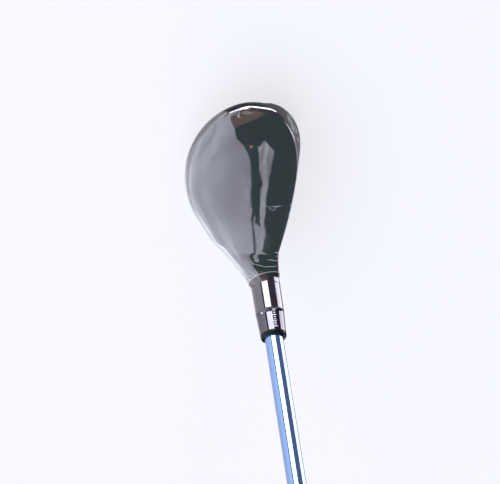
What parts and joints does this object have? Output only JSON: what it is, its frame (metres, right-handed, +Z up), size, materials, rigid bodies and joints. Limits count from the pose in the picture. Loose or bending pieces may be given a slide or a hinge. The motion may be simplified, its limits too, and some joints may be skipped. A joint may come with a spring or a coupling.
{
  "type": "hybrid golf club",
  "caption": "Left-handed hybrid golf club: hollow steel head under clear packing film, adjustable hosel sleeve, bright blue shaft and a rubber grip.",
  "frame": {"origin": "centre of the flat patch of the sole that rests on the ground, club at address", "axes": "+X from heel to toe, +Y from the face to the back of the head, +Z up; the shaft leans 59 degrees from the ground towards -X"},
  "size_m": [0.6085, 0.0638, 0.8803],
  "materials": {
    "body_black": "gloss black coating over cast steel",
    "crown_gloss": "high-gloss black paint",
    "face_steel": "satin dark steel with milled score lines",
    "clear_film": "clear heat-shrunk packing film",
    "steel": "turned steel",
    "nylon": "natural nylon",
    "seal_black": "black seal ring",
    "dark_chrome": "mirror-polished dark plating",
    "ferrule_black": "polished black plastic",
    "blue_shaft": "mirror-bright blue coating over graphite",
    "cork": "cork plug",
    "tape": "double-sided paper tape",
    "grip_rubber": "textured black rubber",
    "weight_steel": "satin steel weight"
  },
  "bodies": {
    "head": {"head_body": "body_black", "crown": "crown_gloss", "face_plate": "face_steel", "shrink_film": "clear_film", "screw_washer": "steel", "weight_bushing": "body_black"},
    "screw": {"hosel_screw": "steel", "screw_retainer": "nylon"},
    "lift_ring": {"hosel_ring": "seal_black"},
    "shaft_assembly": {"adapter_sleeve": "dark_chrome", "sleeve_insert": "steel", "ferrule": "ferrule_black", "shaft": "blue_shaft", "tip_plug": "cork", "grip_tape": "tape", "grip": "grip_rubber", "grip_cap": "grip_rubber"},
    "weight_seat": {"weight_washer": "grip_rubber"},
    "weight": {"sole_weight": "weight_steel"}
  },
  "joints": [
    {"name": "hosel_screw_turn", "type": "hinge", "parent": "head", "child": "screw", "pos_m": [-0.04443, -0.0015, 0.03596], "axis": [0.515, 0, -0.8572], "range_deg": [0, 2520]},
    {"name": "sleeve_lift", "type": "slide", "parent": "head", "child": "lift_ring", "axis": [-0.515, 0, 0.8572], "range_m": [0, 0.0056]},
    {"name": "sleeve_turn", "type": "hinge", "parent": "lift_ring", "child": "shaft_assembly", "pos_m": [-0.04443, -0.0015, 0.03596], "axis": [-0.515, 0, 0.8572], "continuous": true},
    {"name": "weight_out", "type": "slide", "parent": "head", "child": "weight_seat", "axis": [0, 0.2419, -0.9703], "range_m": [0, 0.007]},
    {"name": "weight_turn", "type": "hinge", "parent": "weight_seat", "child": "weight", "pos_m": [0.009, 0.028, 0.00243], "axis": [0, 0.2419, -0.9703], "range_deg": [0, 2520]}
  ],
  "couplings": [
    {"joint": "hosel_screw_turn", "follows": "sleeve_lift", "rad_per_m": 7854},
    {"joint": "weight_turn", "follows": "weight_out", "rad_per_m": 6283.2}
  ]
}
